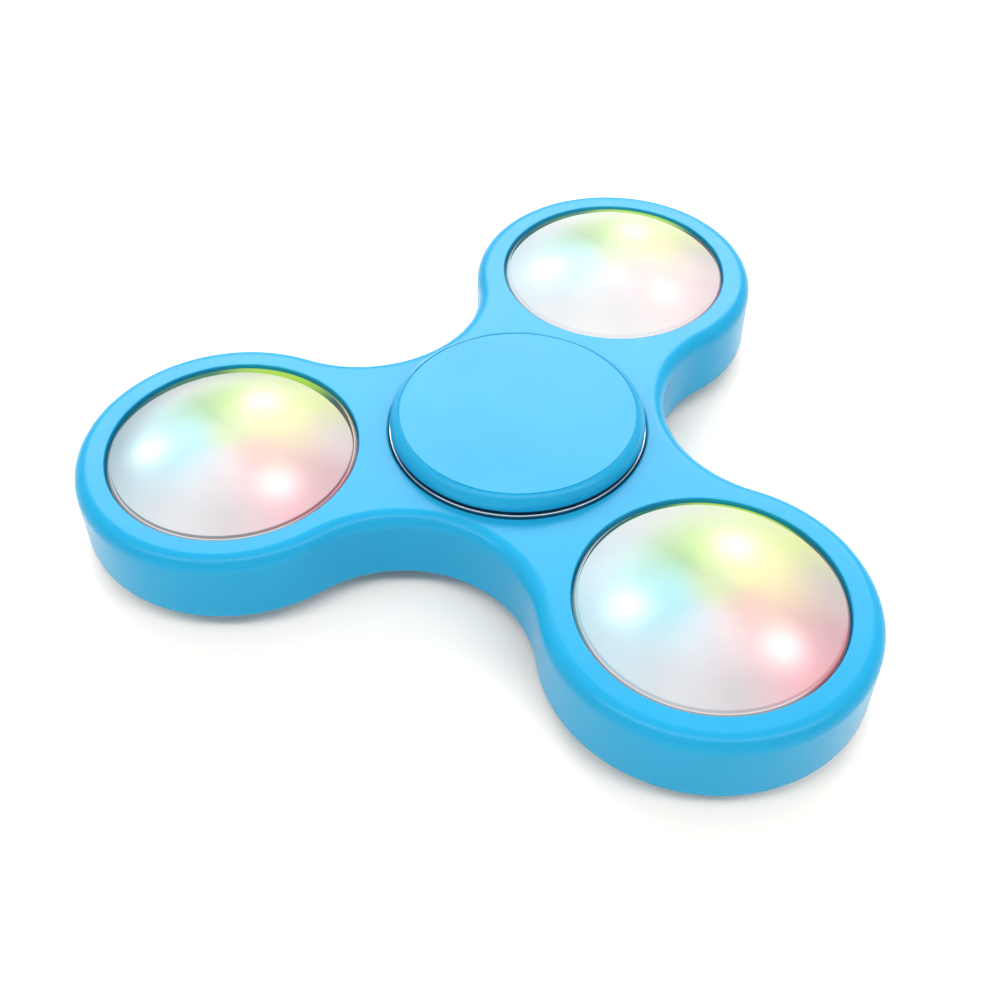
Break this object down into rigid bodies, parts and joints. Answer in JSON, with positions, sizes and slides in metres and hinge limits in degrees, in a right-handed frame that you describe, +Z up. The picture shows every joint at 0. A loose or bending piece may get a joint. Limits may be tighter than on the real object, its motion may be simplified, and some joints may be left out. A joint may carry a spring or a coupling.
{
  "type": "light-up hand spinner",
  "caption": "Flat three-lobed hand spinner: a lit domed capsule in each lobe turns round two finger caps on a central ball bearing.",
  "frame": {"origin": "on the spin axis, in the flat underside of the lower finger cap", "axes": "+Z up along the spin axis, out of the lit side; the lobes point at 90, 210 and 330 degrees from +X, so +Y runs to the middle of one lobe"},
  "size_m": [0.0684, 0.0628, 0.0102],
  "materials": {
    "blue_plastic": "satin moulded ABS, sky blue",
    "bearing_steel": "ground and polished bearing steel",
    "shield_steel": "pressed sheet steel",
    "ball_steel": "polished balls",
    "cage_steel": "pressed sheet steel",
    "milky_lens": "milky white moulding, lit from behind",
    "cup_plastic": "glossy white moulding",
    "led_yellow": "lit LED package, yellow-green",
    "led_cyan": "lit LED package, cyan",
    "led_red": "lit LED package, red",
    "board_laminate": "green solder mask on glass laminate",
    "chip_resin": "moulded black resin",
    "contact_brass": "plain stamped leaf",
    "cell_can": "nickel-plated can",
    "clip_steel": "plated spring strip",
    "switch_plastic": "moulded black nylon",
    "button_plastic": "white moulding",
    "cover_plastic": "fine-textured white moulding"
  },
  "bodies": {
    "grip": {"top_cap": "blue_plastic", "bottom_cap": "blue_plastic", "bearing_inner_ring": "bearing_steel"},
    "rotor": {"body_frame": "blue_plastic", "bearing_outer_ring": "bearing_steel", "bearing_shield_top": "shield_steel", "bearing_shield_bottom": "shield_steel", "lens_1": "milky_lens", "capsule_cup_1": "cup_plastic", "led_yellow_1": "led_yellow", "led_cyan_1": "led_cyan", "led_red_1": "led_red", "circuit_board_1": "board_laminate", "controller_chip_1": "chip_resin", "battery_contact_1": "contact_brass", "coin_cell_1": "cell_can", "battery_clip_1": "clip_steel", "switch_housing_1": "switch_plastic", "back_cover_1": "cover_plastic", "lens_2": "milky_lens", "capsule_cup_2": "cup_plastic", "led_yellow_2": "led_yellow", "led_cyan_2": "led_cyan", "led_red_2": "led_red", "circuit_board_2": "board_laminate", "controller_chip_2": "chip_resin", "battery_contact_2": "contact_brass", "coin_cell_2": "cell_can", "battery_clip_2": "clip_steel", "switch_housing_2": "switch_plastic", "back_cover_2": "cover_plastic", "lens_3": "milky_lens", "capsule_cup_3": "cup_plastic", "led_yellow_3": "led_yellow", "led_cyan_3": "led_cyan", "led_red_3": "led_red", "circuit_board_3": "board_laminate", "controller_chip_3": "chip_resin", "battery_contact_3": "contact_brass", "coin_cell_3": "cell_can", "battery_clip_3": "clip_steel", "switch_housing_3": "switch_plastic", "back_cover_3": "cover_plastic"},
    "cage": {"bearing_cage": "cage_steel"},
    "ball_1": {"bearing_ball_1": "ball_steel"},
    "ball_2": {"bearing_ball_2": "ball_steel"},
    "ball_3": {"bearing_ball_3": "ball_steel"},
    "ball_4": {"bearing_ball_4": "ball_steel"},
    "ball_5": {"bearing_ball_5": "ball_steel"},
    "ball_6": {"bearing_ball_6": "ball_steel"},
    "ball_7": {"bearing_ball_7": "ball_steel"},
    "button_1": {"push_button_1": "button_plastic", "switch_plunger_1": "switch_plastic"},
    "button_2": {"push_button_2": "button_plastic", "switch_plunger_2": "switch_plastic"},
    "button_3": {"push_button_3": "button_plastic", "switch_plunger_3": "switch_plastic"}
  },
  "joints": [
    {"name": "rotor_spin", "type": "hinge", "parent": "grip", "child": "rotor", "pos_m": [0, 0, 0.0051], "axis": [0, 0, 1], "continuous": true},
    {"name": "cage_spin", "type": "hinge", "parent": "grip", "child": "cage", "pos_m": [0, 0, 0.0051], "axis": [0, 0, 1], "continuous": true},
    {"name": "button_1_press", "type": "slide", "parent": "rotor", "child": "button_1", "axis": [0, 0, 1], "range_m": [0, 0.00035], "stiffness_N_per_m": 3000},
    {"name": "button_2_press", "type": "slide", "parent": "rotor", "child": "button_2", "axis": [0, 0, 1], "range_m": [0, 0.00035], "stiffness_N_per_m": 3000},
    {"name": "button_3_press", "type": "slide", "parent": "rotor", "child": "button_3", "axis": [0, 0, 1], "range_m": [0, 0.00035], "stiffness_N_per_m": 3000},
    {"name": "ball_1_roll", "type": "hinge", "parent": "cage", "child": "ball_1", "pos_m": [0.0075, 0, 0.0051], "axis": [0, 0, 1], "continuous": true},
    {"name": "ball_2_roll", "type": "hinge", "parent": "cage", "child": "ball_2", "pos_m": [0.00468, 0.00586, 0.0051], "axis": [0, 0, 1], "continuous": true},
    {"name": "ball_3_roll", "type": "hinge", "parent": "cage", "child": "ball_3", "pos_m": [-0.00167, 0.00731, 0.0051], "axis": [0, 0, 1], "continuous": true},
    {"name": "ball_4_roll", "type": "hinge", "parent": "cage", "child": "ball_4", "pos_m": [-0.00676, 0.00325, 0.0051], "axis": [0, 0, 1], "continuous": true},
    {"name": "ball_5_roll", "type": "hinge", "parent": "cage", "child": "ball_5", "pos_m": [-0.00676, -0.00325, 0.0051], "axis": [0, 0, 1], "continuous": true},
    {"name": "ball_6_roll", "type": "hinge", "parent": "cage", "child": "ball_6", "pos_m": [-0.00167, -0.00731, 0.0051], "axis": [0, 0, 1], "continuous": true},
    {"name": "ball_7_roll", "type": "hinge", "parent": "cage", "child": "ball_7", "pos_m": [0.00468, -0.00586, 0.0051], "axis": [0, 0, 1], "continuous": true}
  ],
  "couplings": [
    {"joint": "cage_spin", "follows": "rotor_spin", "ratio": 0.6323},
    {"joint": "ball_1_roll", "follows": "rotor_spin", "ratio": 1.7573},
    {"joint": "ball_2_roll", "follows": "rotor_spin", "ratio": 1.7573},
    {"joint": "ball_3_roll", "follows": "rotor_spin", "ratio": 1.7573},
    {"joint": "ball_4_roll", "follows": "rotor_spin", "ratio": 1.7573},
    {"joint": "ball_5_roll", "follows": "rotor_spin", "ratio": 1.7573},
    {"joint": "ball_6_roll", "follows": "rotor_spin", "ratio": 1.7573},
    {"joint": "ball_7_roll", "follows": "rotor_spin", "ratio": 1.7573}
  ]
}
